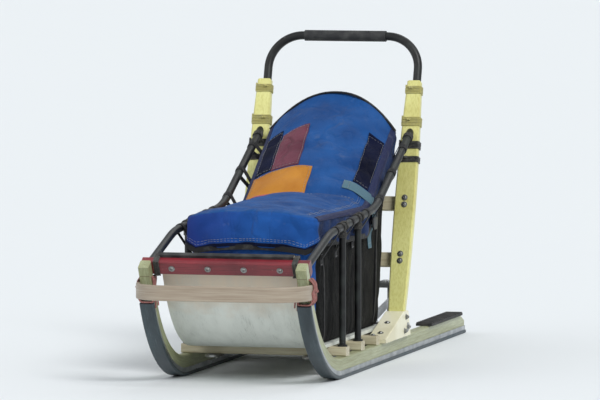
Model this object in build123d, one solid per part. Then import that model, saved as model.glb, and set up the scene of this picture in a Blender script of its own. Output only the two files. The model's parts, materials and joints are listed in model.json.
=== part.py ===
from build123d import *

import os
from math import cos, radians, sin, tan

# A dog sled of the toboggan type: two long runners with upturned fronts, a plastic bed that curves up
# between them, broad leaning posts with a driving bow, side rails, a brush bow round the front, a cargo bag
# on the bed, and a claw brake and a drag mat that hinge on one bar behind the posts.
# Millimetres, +Z up. The front points to -Y and the runner tails to +Y. The origin is on the ground, at the
# middle of the overall length and width.

# Overall sizes
LENGTH = 2180
GAUGE = 480
TAIL_LENGTH = 890
HANDLE_HEIGHT = 989

# Runners: plastic shoe, aluminium track and wooden rail, bent together about one centre
TURN_RADIUS = 470
TURN_ANGLE = 60
SHOE_TIP = 12
RAIL_TIP = 128
SHOE_WIDTH = 44
SHOE_THICK = 10
SHOE_CHAMFER = 2.5
NECK_WIDTH = 9
NECK_HEIGHT = 4
HEAD_WIDTH = 17
HEAD_HEIGHT = 4
SLOT_GAP = 0.25
TRACK_WIDTH = 38
TRACK_HEIGHT = 14
RAIL_WIDTH = 32
RAIL_HEIGHT = 38
RAIL_ROUND = 6
TAIL_TAPER = 60
TAIL_DROP = 22

# Bed and the bars that carry it
MEMBER_WIDTH = 45
MEMBER_HEIGHT = 28
MEMBER_ROUND = 5
MEMBER_COUNT = 3
FIRST_MEMBER_BACK = 70
LAST_MEMBER_AHEAD = 290
REAR_MEMBER_AHEAD = 42
NOSE_MEMBER_UP = 100
BED_GAP = 5
BED_THICK = 10
BED_TIP = 130
BED_TO_POST = 20

# Rear posts and their feet
POST_LEAN = 19
POST_LENGTH = 820
POST_DEPTH = 28
POST_FOOT_WIDTH = 36
POST_BELLY_WIDTH = 64
POST_TOP_WIDTH = 42
POST_BELLY_UP = 455
POST_CHAMFER = 4
FOOT_WALL = 12
FOOT_AHEAD = 245
FOOT_BEHIND = 84
FOOT_TOE = 12
FOOT_HEIGHT = 78
FOOT_ROUND = 8
FOOT_EDGE = 3

# Driving bow and its grip
BOW_TUBE = 26
BOW_CORNER = 105
BOW_LEG = 345
GRIP_WALL = 4
GRIP_GAP = 0.1
GRIP_SHORT = 10

# Slats across the backs of the posts: how far up the post each one is
SLAT_WIDTH = 46
SLAT_THICK = 14
SLAT_ROUND = 4
LOWER_SLAT_UP = 250
UPPER_SLAT_UP = 430

# Side rails and struts
SIDE_RAIL_TUBE = 24
STRUT_TUBE = 20
STRUT_FLANGE = 30
STRUT_FLANGE_THICK = 5
SIDE_RAIL_FRONT_Z = 440
SIDE_RAIL_MID_Z = 478
SIDE_RAIL_POST_UP = 660
SIDE_RAIL_BEND = 260
SIDE_RAIL_CURVE = 420

# Brush bow
BRUSH_THICK = 10
BRUSH_HEIGHT = 46
BRUSH_ROUND = 3
BRUSH_CORNER = 112
BRUSH_Z = 290
BRUSH_OVERLAP = 36

# Foot pads on the tails
PAD_WIDTH = 52
PAD_THICK = 8
PAD_LENGTH = 430
PAD_TO_TAPER = 6
PAD_RIB = 3
PAD_RIB_WIDTH = 10
PAD_RIB_COUNT = 17

# Pivot bar, claw brake and drag mat
PIVOT_TUBE = 20
PIVOT_UP = 28
PIVOT_BEHIND = 45
PIVOT_GAP = 0.08
SLEEVE_WALL = 5
SLEEVE_LENGTH = 34
BRAKE_REACH = 500
BRAKE_LIFT = 85
BRAKE_ARM_X = 138
BRAKE_ARM_THICK = 12
BRAKE_ARM_HEIGHT = 26
BRAKE_BAR_DEPTH = 38
BRAKE_BAR_HEIGHT = 12
CLAW_X = 95
CLAW_DROP = 82
CLAW_DEPTH = 24
CLAW_TIP = 5
CLAW_THICK = 12
PEDAL_WIDTH = 210
PEDAL_DEPTH = 60
PEDAL_THICK = 6
PEDAL_RIB = 4
PEDAL_RIB_COUNT = 9
MAT_WIDTH = 236
MAT_REACH = 450
MAT_SLOPE = 20
MAT_THICK = 9
MAT_BEND = 220
MAT_START = 38
HINGE_X = 70
HINGE_THICK = 5
HINGE_OVERLAP = 62
LUG_HEIGHT = 17
LUG_THICK = 14
LUG_WIDTH = 58
LUG_ROWS = 5
LUG_COLUMNS = 3
LUG_PITCH = 54

# Bridle plates under the first cross member
PLATE_WIDTH = 44
PLATE_THICK = 6
PLATE_AHEAD = 36
PLATE_X = 150
EYE_RADIUS = 9

# Cargo bag and its cover: height of the top's edges, and how far the middle stands above them
BAG_INSET = 13
BAG_FRONT_AHEAD = 97
BAG_FRONT_Z = 478
BAG_FRONT_CROWN = 20
BAG_FLAT = 655
BAG_FOLD_Z = 462
BAG_FOLD_CROWN = 45
BAG_BACK_Z = 700
BAG_BACK_CROWN = 92
BAG_TO_POST = 24
COVER_THICK = 8
COVER_DROP = 90

# Places worked out from the sizes
TAIL_Y = LENGTH / 2
FRONT_Y = -LENGTH / 2
SIDE_X = GAUGE / 2
FOOT_WIDTH = POST_FOOT_WIDTH + 2 * FOOT_WALL
BETWEEN_FEET = GAUGE - FOOT_WIDTH
BED_WIDTH = BETWEEN_FEET - 2 * BED_GAP
BAG_WIDTH = BED_WIDTH - 2 * BAG_INSET
TRACK_TOP = SHOE_THICK + TRACK_HEIGHT
RAIL_TOP = TRACK_TOP + RAIL_HEIGHT
BED_BOTTOM = RAIL_TOP + MEMBER_HEIGHT
BED_TOP = BED_BOTTOM + BED_THICK
TURN_SIN = sin(radians(TURN_ANGLE))
TURN_COS = cos(radians(TURN_ANGLE))
RAIL_MIDDLE_RADIUS = TURN_RADIUS - (TRACK_TOP + RAIL_TOP) / 2
BRUSH_UP_TIP = (BRUSH_Z - TURN_RADIUS + RAIL_MIDDLE_RADIUS * TURN_COS) / TURN_SIN
BRUSH_AHEAD = RAIL_MIDDLE_RADIUS * TURN_SIN + BRUSH_UP_TIP * TURN_COS
BRUSH_JOINT_Y = FRONT_Y + BRUSH_CORNER + BRUSH_OVERLAP
CONTACT_Y = BRUSH_JOINT_Y + BRUSH_AHEAD
POST_Y = TAIL_Y - TAIL_LENGTH
LEAN_TAN = tan(radians(POST_LEAN))
LEAN_COS = cos(radians(POST_LEAN))
PIVOT_Y = POST_Y + PIVOT_BEHIND
PIVOT_Z = RAIL_TOP + PIVOT_UP
SLEEVE_RADIUS = PIVOT_TUBE / 2 + PIVOT_GAP + SLEEVE_WALL
TURN_AXIS = Axis((0, CONTACT_Y, TURN_RADIUS), (-1, 0, 0))
SIDES = {"left": 1, "right": -1}


def section(width, low, high):
    """A rectangle across the sled, from height low to height high."""
    return Pos(0, (low + high) / 2) * Rectangle(width, high - low)


def along_runner(profile, rear_y, tip, x=0):
    """A profile run from rear_y forward along the ground, round the upturn and up a straight tip."""
    start = Plane(origin=(x, CONTACT_Y, 0), x_dir=(1, 0, 0), z_dir=(0, -1, 0)) * profile
    straight = extrude(start, amount=rear_y - CONTACT_Y, dir=(0, 1, 0))
    turn = revolve(start, axis=TURN_AXIS, revolution_arc=TURN_ANGLE)
    end = start.rotate(TURN_AXIS, TURN_ANGLE)
    return straight + turn + extrude(end, amount=tip, dir=(0, -TURN_COS, TURN_SIN))


def side_plate(profile, width, x=0):
    """A profile drawn as (y, z), given a width across the sled and centred on x."""
    plane = Plane(origin=(x, 0, 0), x_dir=(0, 1, 0), z_dir=(1, 0, 0))
    return extrude(plane * profile, width / 2, both=True)


def on_post(part):
    """Leans a part that was drawn on an upright post whose foot is at the origin."""
    return Pos(0, POST_Y, RAIL_TOP) * Rot(X=-POST_LEAN) * part


def post_y(z, offset=0):
    """Where the posts' middle is at height z, or a line that lies offset behind it."""
    return POST_Y + (z - RAIL_TOP) * LEAN_TAN + offset / LEAN_COS


def tube(path, diameter):
    return sweep(Plane(origin=path @ 0, z_dir=path % 0) * Circle(diameter / 2), path)


def cross_cylinder(radius, length, x=0):
    """A cylinder across the sled about the pivot line."""
    return Pos(x, PIVOT_Y, PIVOT_Z) * Rot(Y=90) * Cylinder(radius, length)


# Runners
def shoe(side):
    sole = section(SHOE_WIDTH, 0, SHOE_THICK)
    sole = chamfer(sole.vertices().group_by(Axis.Y)[0], SHOE_CHAMFER)
    neck_top = SHOE_THICK + NECK_HEIGHT
    neck = section(NECK_WIDTH, SHOE_THICK, neck_top)
    head = section(HEAD_WIDTH, neck_top, neck_top + HEAD_HEIGHT)
    return along_runner(sole + neck + head, TAIL_Y, SHOE_TIP, side * SIDE_X)


def track(side):
    neck_top = SHOE_THICK + NECK_HEIGHT
    neck = section(NECK_WIDTH + 2 * SLOT_GAP, SHOE_THICK, neck_top)
    head = section(HEAD_WIDTH + 2 * SLOT_GAP, neck_top - SLOT_GAP, neck_top + HEAD_HEIGHT + SLOT_GAP)
    outline = section(TRACK_WIDTH, SHOE_THICK, TRACK_TOP) - neck - head
    return along_runner(outline, TAIL_Y, SHOE_TIP, side * SIDE_X)


def rail(side):
    outline = section(RAIL_WIDTH, TRACK_TOP, RAIL_TOP)
    outline = fillet(outline.vertices().group_by(Axis.Y)[-1], RAIL_ROUND)
    wood = along_runner(outline, TAIL_Y, RAIL_TIP, side * SIDE_X)
    taper = Polyline(
        (TAIL_Y - TAIL_TAPER, RAIL_TOP), (TAIL_Y, RAIL_TOP - TAIL_DROP), (TAIL_Y, RAIL_TOP), close=True
    )
    return wood - side_plate(make_face(taper), 2 * RAIL_WIDTH, side * SIDE_X)


def foot_pad(side):
    end = TAIL_Y - TAIL_TAPER - PAD_TO_TAPER
    middle = end - PAD_LENGTH / 2
    pad = Box(PAD_WIDTH, PAD_LENGTH, PAD_THICK, align=(Align.CENTER, Align.CENTER, Align.MIN))
    rib = Box(PAD_WIDTH, PAD_RIB_WIDTH, PAD_RIB, align=(Align.CENTER, Align.CENTER, Align.MIN))
    ribs = GridLocations(PAD_WIDTH, PAD_LENGTH / PAD_RIB_COUNT, 1, PAD_RIB_COUNT)
    pad += [Pos(0, 0, PAD_THICK) * place * rib for place in ribs]
    return Pos(side * SIDE_X, middle, RAIL_TOP) * pad


# Bed
def cross_member(length=GAUGE + RAIL_WIDTH):
    """A bar across the runners at y = 0, standing on the rails."""
    bar = Box(length, MEMBER_WIDTH, MEMBER_HEIGHT)
    bar = fillet(bar.edges().filter_by(Axis.X), MEMBER_ROUND)
    return Pos(0, 0, RAIL_TOP + MEMBER_HEIGHT / 2) * bar


def member_places():
    first, last = CONTACT_Y + FIRST_MEMBER_BACK, POST_Y - LAST_MEMBER_AHEAD
    step = (last - first) / (MEMBER_COUNT - 1)
    return [first + n * step for n in range(MEMBER_COUNT)]


def nose_member():
    turned = (Pos(0, CONTACT_Y, 0) * cross_member()).rotate(TURN_AXIS, TURN_ANGLE)
    return Pos(0, -NOSE_MEMBER_UP * TURN_COS, NOSE_MEMBER_UP * TURN_SIN) * turned


def rear_member():
    return Pos(0, POST_Y - REAR_MEMBER_AHEAD, 0) * cross_member(BETWEEN_FEET)


def bed():
    return along_runner(section(BED_WIDTH, BED_BOTTOM, BED_TOP), POST_Y - BED_TO_POST, BED_TIP)


def bridle_plate(side):
    member_front = member_places()[0] - MEMBER_WIDTH / 2
    eye_y = member_front - PLATE_AHEAD
    blank = SlotCenterToCenter(PLATE_AHEAD + MEMBER_WIDTH - PLATE_WIDTH / 2, PLATE_WIDTH, rotation=90)
    middle = eye_y + (PLATE_AHEAD + MEMBER_WIDTH - PLATE_WIDTH / 2) / 2
    plate = Pos(side * PLATE_X, middle) * blank - Pos(side * PLATE_X, eye_y) * Circle(EYE_RADIUS)
    return Pos(0, 0, RAIL_TOP - PLATE_THICK) * extrude(plate, PLATE_THICK)


# Posts, driving bow, slats and side rails
def post_outline():
    low, belly, top = POST_FOOT_WIDTH / 2, POST_BELLY_WIDTH / 2, POST_TOP_WIDTH / 2
    right = ThreePointArc((low, -FOOT_HEIGHT), (belly, POST_BELLY_UP), (top, POST_LENGTH))
    left = ThreePointArc((-top, POST_LENGTH), (-belly, POST_BELLY_UP), (-low, -FOOT_HEIGHT))
    return make_face([right, Line(right @ 1, left @ 0), left, Line(left @ 1, right @ 0)])


def post(side):
    upright = extrude(Plane.XZ * post_outline(), POST_DEPTH / 2, both=True)
    rims = upright.edges().sort_by(SortBy.LENGTH)[-4:] + upright.edges().group_by(Axis.Z)[-1]
    upright = chamfer(rims, POST_CHAMFER)
    ground_side = Pos(0, 0, RAIL_TOP - LENGTH / 2) * Box(LENGTH, LENGTH, LENGTH)
    return on_post(Pos(side * SIDE_X, 0, 0) * upright) - ground_side


def post_foot(side):
    low, top = RAIL_TOP, RAIL_TOP + FOOT_HEIGHT
    outline = make_face(
        Polyline(
            (POST_Y - FOOT_AHEAD, low),
            (POST_Y - FOOT_AHEAD, low + FOOT_TOE),
            (post_y(top, -POST_DEPTH), top),
            (post_y(top, POST_DEPTH), top),
            (POST_Y + FOOT_BEHIND, low + FOOT_TOE),
            (POST_Y + FOOT_BEHIND, low),
            close=True,
        )
    )
    outline = fillet(outline.vertices().group_by(Axis.Y)[-1], FOOT_ROUND)
    block = side_plate(outline, FOOT_WIDTH, side * SIDE_X)
    rims = block.edges().filter_by(Axis.X, reverse=True).filter_by_position(Axis.Z, low + 1, top + 1)
    block = fillet(rims.filter_by(Axis.Z, reverse=True), FOOT_EDGE)
    return block - post(side) - pivot_bore()


def bow_place():
    """How far behind the posts' middle the driving bow lies, and how far up the posts its top is."""
    behind = (POST_DEPTH + BOW_TUBE) / 2
    rise = HANDLE_HEIGHT - BOW_TUBE / 2 - GRIP_WALL - RAIL_TOP
    return behind, rise / LEAN_COS + behind * LEAN_TAN


def driving_bow():
    y, top = bow_place()
    corners = [(SIDE_X, y, top - BOW_LEG), (SIDE_X, y, top), (-SIDE_X, y, top), (-SIDE_X, y, top - BOW_LEG)]
    return on_post(tube(FilletPolyline(*corners, radius=BOW_CORNER), BOW_TUBE))


def grip():
    y, top = bow_place()
    length = GAUGE - 2 * BOW_CORNER - GRIP_SHORT
    sleeve = Cylinder(BOW_TUBE / 2 + GRIP_WALL, length) - Cylinder(BOW_TUBE / 2 + GRIP_GAP, length)
    return on_post(Pos(0, y, top) * Rot(Y=90) * sleeve)


def slat(up):
    bar = Box(GAUGE + POST_FOOT_WIDTH, SLAT_THICK, SLAT_WIDTH)
    bar = fillet(bar.edges().filter_by(Axis.X), SLAT_ROUND)
    return on_post(Pos(0, (POST_DEPTH + SLAT_THICK) / 2, up) * bar)


def side_rail_path(side):
    nose = nose_member().center()
    post_point = on_post(Pos(0, 0, SIDE_RAIL_POST_UP) * Vertex(0, 0, 0)).center()
    corners = [
        (side * SIDE_X, nose.Y, nose.Z),
        (side * SIDE_X, CONTACT_Y - BAG_FRONT_AHEAD, SIDE_RAIL_FRONT_Z),
        (side * SIDE_X, POST_Y - SIDE_RAIL_BEND, SIDE_RAIL_MID_Z),
        (side * SIDE_X, post_point.Y, post_point.Z),
    ]
    return FilletPolyline(*corners, radius=SIDE_RAIL_CURVE)


def side_rail(side):
    return tube(side_rail_path(side), SIDE_RAIL_TUBE) - nose_member() - post(side)


def strut(side, y):
    standing = (Align.CENTER, Align.CENTER, Align.MIN)
    pole = Cylinder(STRUT_TUBE / 2, SIDE_RAIL_MID_Z - BED_BOTTOM, align=standing)
    pole += Cylinder(STRUT_FLANGE / 2, STRUT_FLANGE_THICK, align=standing)
    pieces = (Pos(side * SIDE_X, y, BED_BOTTOM) * pole - side_rail(side)).solids()
    return pieces.sort_by(Axis.Z)[0]


def brush_bow():
    x = SIDE_X + RAIL_WIDTH / 2 + BRUSH_THICK / 2
    front = FRONT_Y + BRUSH_THICK / 2
    back = BRUSH_JOINT_Y + BRUSH_OVERLAP
    corners = [(x, back, BRUSH_Z), (x, front, BRUSH_Z), (-x, front, BRUSH_Z), (-x, back, BRUSH_Z)]
    path = FilletPolyline(*corners, radius=BRUSH_CORNER)
    start = Plane(origin=path @ 0, x_dir=(1, 0, 0), z_dir=path % 0)
    return sweep(start * RectangleRounded(BRUSH_THICK, BRUSH_HEIGHT, BRUSH_ROUND), path)


# Brake and drag mat, both on the pivot bar
def pivot_bar():
    return cross_cylinder(PIVOT_TUBE / 2, GAUGE + FOOT_WIDTH)


def pivot_bore():
    return cross_cylinder(PIVOT_TUBE / 2 + PIVOT_GAP, 2 * GAUGE)


def brake_frame():
    bar_y, bar_z = PIVOT_Y + BRAKE_REACH, PIVOT_Z + BRAKE_LIFT
    bar_low = bar_z - BRAKE_BAR_HEIGHT / 2
    bar_back = bar_y + BRAKE_BAR_DEPTH / 2
    arm = make_face(
        Polyline(
            (PIVOT_Y, PIVOT_Z + BRAKE_ARM_HEIGHT / 2),
            (PIVOT_Y, PIVOT_Z - BRAKE_ARM_HEIGHT / 2),
            (bar_back, bar_low),
            (bar_back, bar_low + BRAKE_BAR_HEIGHT),
            close=True,
        )
    )
    frame = Pos(0, bar_y, bar_z) * Box(2 * BRAKE_ARM_X + BRAKE_ARM_THICK, BRAKE_BAR_DEPTH, BRAKE_BAR_HEIGHT)
    for side in SIDES.values():
        frame += side_plate(arm, BRAKE_ARM_THICK, side * BRAKE_ARM_X)
        frame += cross_cylinder(SLEEVE_RADIUS, SLEEVE_LENGTH, side * BRAKE_ARM_X)
    return frame - pivot_bore()


def brake_claws():
    """Two plates that narrow to forward-raked points."""
    top = PIVOT_Z + BRAKE_LIFT - BRAKE_BAR_HEIGHT / 2
    back = PIVOT_Y + BRAKE_REACH + CLAW_DEPTH / 2
    tip = back - CLAW_DEPTH
    low = top - CLAW_DROP
    bulge = (top + low) / 2
    rear_edge = ThreePointArc((back, top), (back - CLAW_TIP, bulge), (tip, low))
    front_edge = ThreePointArc((tip - CLAW_TIP, low), (back - CLAW_DEPTH, bulge), (back - CLAW_DEPTH, top))
    outline = make_face(
        [rear_edge, Line(rear_edge @ 1, front_edge @ 0), front_edge, Line(front_edge @ 1, rear_edge @ 0)]
    )
    return Part() + [side_plate(outline, CLAW_THICK, side * CLAW_X) for side in SIDES.values()]


def brake_pedal():
    plate = Box(PEDAL_WIDTH, PEDAL_DEPTH, PEDAL_THICK, align=(Align.CENTER, Align.CENTER, Align.MIN))
    rib = Box(PEDAL_THICK, PEDAL_DEPTH, PEDAL_RIB, align=(Align.CENTER, Align.CENTER, Align.MIN))
    ribs = GridLocations(PEDAL_WIDTH / PEDAL_RIB_COUNT, PEDAL_DEPTH, PEDAL_RIB_COUNT, 1)
    plate += [Pos(0, 0, PEDAL_THICK) * place * rib for place in ribs]
    return Pos(0, PIVOT_Y + BRAKE_REACH, PIVOT_Z + BRAKE_LIFT + BRAKE_BAR_HEIGHT / 2) * plate


def mat_frame(part):
    """Places a part drawn with the pivot as origin and +Y down the mat's slope."""
    return Pos(0, PIVOT_Y, PIVOT_Z) * Rot(X=-MAT_SLOPE) * part


def mat_hinge():
    reach = MAT_START + HINGE_OVERLAP
    plate = Pos(0, reach / 2, HINGE_THICK / 2 - SLEEVE_RADIUS) * Box(MAT_WIDTH, reach, HINGE_THICK)
    hinge = mat_frame(plate)
    for side in SIDES.values():
        hinge += cross_cylinder(SLEEVE_RADIUS, SLEEVE_LENGTH, side * HINGE_X)
    return hinge - pivot_bore()


def mat_bend_y():
    """Where the middle of the sloping mat meets the middle of the part that lies flat."""
    slope = radians(MAT_SLOPE)
    under = SLEEVE_RADIUS + MAT_THICK / 2
    down = PIVOT_Z - under * cos(slope) - LUG_HEIGHT - MAT_THICK / 2
    return PIVOT_Y + down / tan(slope) - under * sin(slope)


def drag_mat():
    flat_z = LUG_HEIGHT + MAT_THICK / 2
    start = mat_frame(Vertex(0, MAT_START, -SLEEVE_RADIUS - MAT_THICK / 2)).center()
    corners = [(0, start.Y, start.Z), (0, mat_bend_y(), flat_z), (0, PIVOT_Y + MAT_REACH, flat_z)]
    path = FilletPolyline(*corners, radius=MAT_BEND)
    mat = sweep(Plane(origin=path @ 0, x_dir=(1, 0, 0), z_dir=path % 0) * Rectangle(MAT_WIDTH, MAT_THICK), path)
    lug = Pos(0, 0, LUG_HEIGHT) * loft(
        [Rectangle(LUG_WIDTH, LUG_THICK), Pos(0, 0, -LUG_HEIGHT) * Rectangle(LUG_WIDTH, LUG_THICK / 2)]
    )
    rows_middle = PIVOT_Y + MAT_REACH - LUG_THICK - LUG_PITCH * (LUG_ROWS - 1) / 2
    column_pitch = (MAT_WIDTH - LUG_WIDTH) / (LUG_COLUMNS - 1)
    lugs = Pos(0, rows_middle) * GridLocations(column_pitch, LUG_PITCH, LUG_COLUMNS, LUG_ROWS)
    return mat + [place * lug for place in lugs]


# Cargo bag: a low flat front that sweeps up to the driving bow, with a crowned top
def bag_sections(grow=0):
    """Front, fold and back of the bag as (place along the sled, height of the top's edges, crown)."""
    front = CONTACT_Y - BAG_FRONT_AHEAD
    back = post_y(BAG_BACK_Z + BAG_BACK_CROWN, -POST_DEPTH / 2 - BAG_TO_POST)
    return [
        (front - grow, BAG_FRONT_Z + grow, BAG_FRONT_CROWN),
        (front + BAG_FLAT, BAG_FOLD_Z + grow, BAG_FOLD_CROWN),
        (back, BAG_BACK_Z + grow, BAG_BACK_CROWN),
    ]


def bag_section(y, low, edge, crown, width):
    side = width / 2
    top = ThreePointArc((side, edge), (0, edge + crown), (-side, edge))
    walls = Polyline((-side, edge), (-side, low), (side, low), (side, edge))
    return Plane(origin=(0, y, 0), x_dir=(1, 0, 0), z_dir=(0, -1, 0)) * make_face([top, walls])


def behind_bag():
    """The space behind the leaning plane where the bag ends."""
    middle = LENGTH / 2 - POST_DEPTH / 2 - BAG_TO_POST
    return on_post(Pos(0, middle, 0) * Box(LENGTH, LENGTH, LENGTH))


def bag_body():
    sections = [bag_section(y, BED_TOP, edge, crown, BAG_WIDTH) for y, edge, crown in bag_sections()]
    pieces = (loft(sections, ruled=True) - bed() - behind_bag()).solids()
    return pieces.sort_by(SortBy.VOLUME)[-1]


def bag_cover():
    width = BAG_WIDTH + 2 * COVER_THICK
    sections = [bag_section(y, edge - COVER_DROP, edge, crown, width) for y, edge, crown in bag_sections(COVER_THICK)]
    inside = [bag_section(y, BED_TOP, edge, crown, BAG_WIDTH) for y, edge, crown in bag_sections()]
    return loft(sections, ruled=True) - loft(inside, ruled=True) - behind_bag()


def write(name, part):
    export_step(part, os.path.join("parts", name + ".step"))


def main():
    os.makedirs("parts", exist_ok=True)
    for name, side in SIDES.items():
        write("shoe_" + name, shoe(side))
        write("track_" + name, track(side))
        write("runner_" + name, rail(side))
        write("foot_pad_" + name, foot_pad(side))
        write("post_" + name, post(side))
        write("post_foot_" + name, post_foot(side))
        write("side_rail_" + name, side_rail(side))
        write("bridle_plate_" + name, bridle_plate(side))
        write("strut_front_" + name, strut(side, member_places()[0]))
        write("strut_middle_" + name, strut(side, member_places()[1]))
    for number, y in enumerate(member_places(), 1):
        write(f"cross_member_{number}", Pos(0, y, 0) * cross_member())
    write("rear_member", rear_member())
    write("nose_member", nose_member())
    write("bed", bed())
    write("brush_bow", brush_bow())
    write("lower_slat", slat(LOWER_SLAT_UP))
    write("upper_slat", slat(UPPER_SLAT_UP))
    write("driving_bow", driving_bow())
    write("grip", grip())
    write("pivot_bar", pivot_bar())
    write("brake_frame", brake_frame())
    write("brake_claws", brake_claws())
    write("brake_pedal", brake_pedal())
    write("mat_hinge", mat_hinge())
    write("drag_mat", drag_mat())
    write("bag_body", bag_body())
    write("bag_cover", bag_cover())


main()
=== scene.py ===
"""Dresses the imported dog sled: materials, a sewn cargo bag, lashings, fasteners, springs and edging.

Metres, +Z up, front at -Y, the sled's left at +X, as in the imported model.
"""

import json
import math
import random

import bmesh
import bpy
import numpy as np
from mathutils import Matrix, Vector, noise
from mathutils.bvhtree import BVHTree


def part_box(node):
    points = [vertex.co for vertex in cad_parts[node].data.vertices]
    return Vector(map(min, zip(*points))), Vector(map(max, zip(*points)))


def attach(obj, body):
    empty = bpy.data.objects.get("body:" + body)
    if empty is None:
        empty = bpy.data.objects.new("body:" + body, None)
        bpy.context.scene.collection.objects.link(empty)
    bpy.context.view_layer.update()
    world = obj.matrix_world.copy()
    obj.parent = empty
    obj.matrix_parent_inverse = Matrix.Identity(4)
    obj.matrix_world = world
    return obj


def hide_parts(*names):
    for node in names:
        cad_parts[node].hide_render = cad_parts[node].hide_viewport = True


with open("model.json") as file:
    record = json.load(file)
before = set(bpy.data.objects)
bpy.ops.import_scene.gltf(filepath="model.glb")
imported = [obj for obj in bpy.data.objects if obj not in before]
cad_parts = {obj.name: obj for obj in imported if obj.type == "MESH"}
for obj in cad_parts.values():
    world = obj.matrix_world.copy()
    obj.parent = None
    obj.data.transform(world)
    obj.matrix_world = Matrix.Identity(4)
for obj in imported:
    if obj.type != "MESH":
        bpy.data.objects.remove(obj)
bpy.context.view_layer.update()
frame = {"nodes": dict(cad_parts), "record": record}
scene = bpy.context.scene
dice = random.Random(7)


def middle_of(node):
    low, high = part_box(node)
    return (low + high) / 2


# Places that the pieces are fitted to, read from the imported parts
SIDES = {"left": 1, "right": -1}
SIDE_X = middle_of("runner_left").x
FOOT_IN, FOOT_OUT = (end.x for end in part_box("post_foot_left"))
RAIL_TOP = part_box("post_foot_left")[0].z
MEMBERS_Y = [middle_of(f"cross_member_{number}").y for number in (1, 2, 3)]
NOSE = middle_of("nose_member")
PIVOT = middle_of("pivot_bar")
PEDAL = middle_of("brake_pedal")
BRIDLE_PLATE = middle_of("bridle_plate_left")
BRUSH_Z = middle_of("brush_bow").z
BED_LOW, BED_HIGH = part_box("bed")
BAG_FRONT_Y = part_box("bag_body")[0].y
BAG_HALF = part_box("bag_body")[1].x
LID_FRONT_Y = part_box("bag_cover")[0].y

# Sizes and places that a part's box doesn't give
LID_THICK = 0.008
LID_HALF = BAG_HALF + LID_THICK
BED_THICK = 0.010
BED_TOP = BED_LOW.z + BED_THICK
CONTACT_Y = MEMBERS_Y[0] - 0.070
TURN_Z = 0.470
TURN = math.radians(60)
LEAN = math.radians(19)
POST_Y = PIVOT.y - 0.045
MAT_SLOPE = math.radians(20)
BAG_MIDDLE = Vector((0, 0, 0.3))
SIDE_RAIL = [NOSE, Vector((0, BAG_FRONT_Y, 0.440)), Vector((0, -0.060, 0.478)), Vector((0, 0.415, 0.686))]
RAIL_RADIUS = 0.012

ACROSS = Vector((1, 0, 0))
BACK = Vector((0, 1, 0))
UP = Vector((0, 0, 1))
POST_UP = Vector((0, math.sin(LEAN), math.cos(LEAN)))
POST_BACK = Vector((0, math.cos(LEAN), -math.sin(LEAN)))
TIP_UP = Vector((0, -math.cos(TURN), math.sin(TURN)))
TIP_BACK = Vector((0, math.sin(TURN), math.cos(TURN)))
MAT_UP = Vector((0, math.sin(MAT_SLOPE), math.cos(MAT_SLOPE)))
MAT_BACK = Vector((0, math.cos(MAT_SLOPE), -math.sin(MAT_SLOPE)))


def post_point(side, up, behind=0, out=0):
    """A point on a post: how far up it, behind its middle and outward of it."""
    foot = Vector((side * (SIDE_X + out), POST_Y, RAIL_TOP))
    return foot + POST_UP * up + POST_BACK * behind


def post_half_width(up):
    """Half a post's width across the sled: a curve through the widths at three heights."""
    widths = {-0.078: 0.018, 0.455: 0.032, 0.820: 0.021}
    total = 0
    for a, width in widths.items():
        total += width * math.prod((up - b) / (a - b) for b in widths if b != a)
    return total


# Materials, whose colours are written in 0 to 255 screen values
def linear(colour):
    """The linear colour that a shader takes."""
    parts = [v / 255 for v in colour]
    return [v / 12.92 if v <= 0.04045 else ((v + 0.055) / 1.055) ** 2.4 for v in parts] + [1]


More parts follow.
